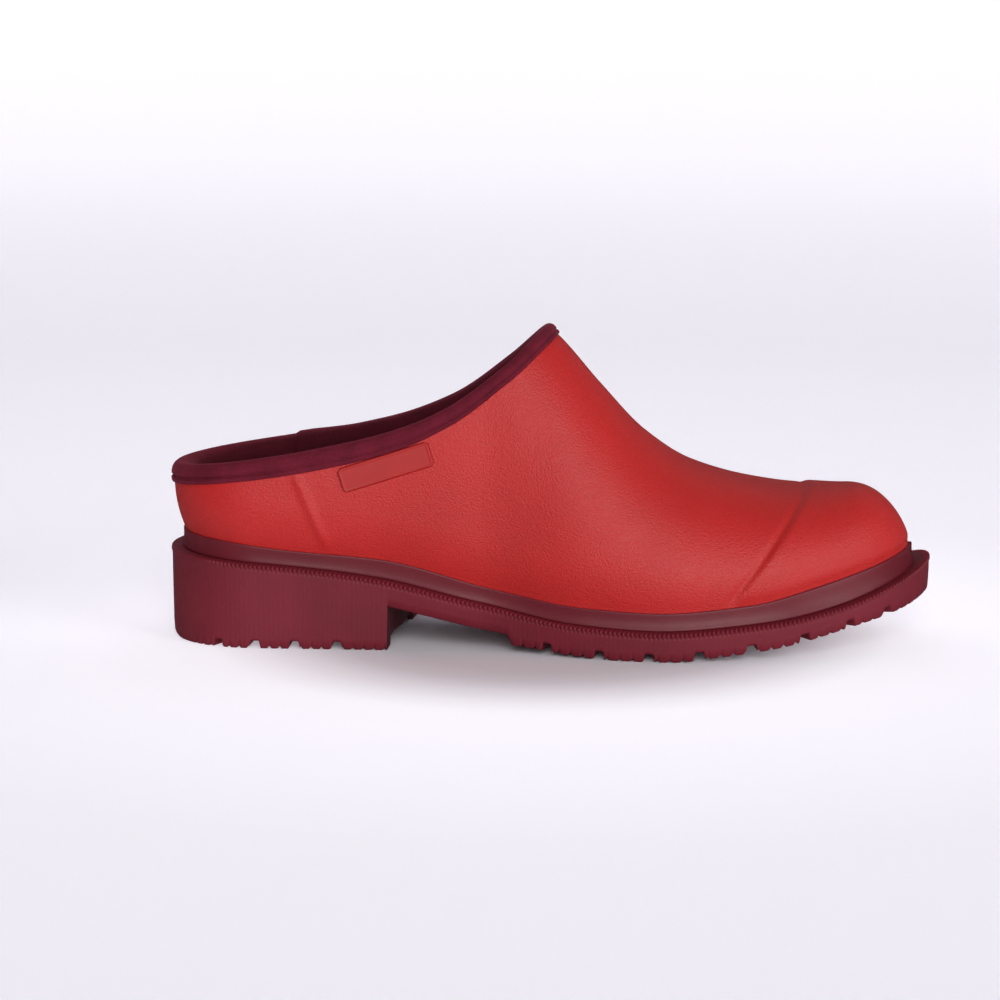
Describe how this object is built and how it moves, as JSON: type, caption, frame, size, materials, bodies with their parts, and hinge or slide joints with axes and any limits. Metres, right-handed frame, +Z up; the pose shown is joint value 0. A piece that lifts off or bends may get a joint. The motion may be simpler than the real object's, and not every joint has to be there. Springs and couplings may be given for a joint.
{
  "type": "garden clog",
  "caption": "Slip-on rubber garden clog for the right foot, with a bound mouth, smooth foxing strip, stacked heel and notched tread, and a loose footbed.",
  "frame": {"origin": "on the ground, under the middle of the sole's box", "axes": "+X from heel to toe, +Y to the inner (medial) side, +Z up"},
  "size_m": [0.28, 0.0957, 0.1159],
  "materials": {
    "upper_rubber": "matte moulded natural rubber with a fine pebble grain, red",
    "stiffener_sheet": "thermoplastic stiffener sheet, off-white",
    "lining_cloth": "knitted textile lining, dark red",
    "binding_tape": "folded knit binding tape, burgundy",
    "label_rubber": "smooth moulded rubber label, red",
    "foxing_rubber": "smooth calendered rubber strip, deep red",
    "sole_rubber": "moulded sole rubber with fine ribs, burgundy",
    "midsole_foam": "closed-cell foam, grey",
    "heel_plastic": "injection moulded plastic, black",
    "shank_steel": "cold rolled spring steel",
    "filler_cork": "pressed granulated cork",
    "board_fibre": "pressed cellulose fibre board",
    "footbed_foam": "soft open-cell foam, dark grey",
    "footbed_cloth": "brushed knit cover, dark red"
  },
  "bodies": {
    "clog": {"upper_shell": "upper_rubber", "toe_puff": "stiffener_sheet", "heel_counter": "stiffener_sheet", "lining": "lining_cloth", "topline_binding": "binding_tape", "side_label": "label_rubber", "foxing_strip": "foxing_rubber", "outsole": "sole_rubber", "midsole": "midsole_foam", "heel_core": "heel_plastic", "shank": "shank_steel", "bottom_filler": "filler_cork", "insole_board": "board_fibre"},
    "footbed": {"footbed_foam": "footbed_foam", "footbed_cover": "footbed_cloth"}
  },
  "joints": [
    {"name": "footbed_lift", "type": "hinge", "parent": "clog", "child": "footbed", "pos_m": [0.126, 0, 0.03], "axis": [0, 1, 0], "range_deg": [0, 3]}
  ]
}
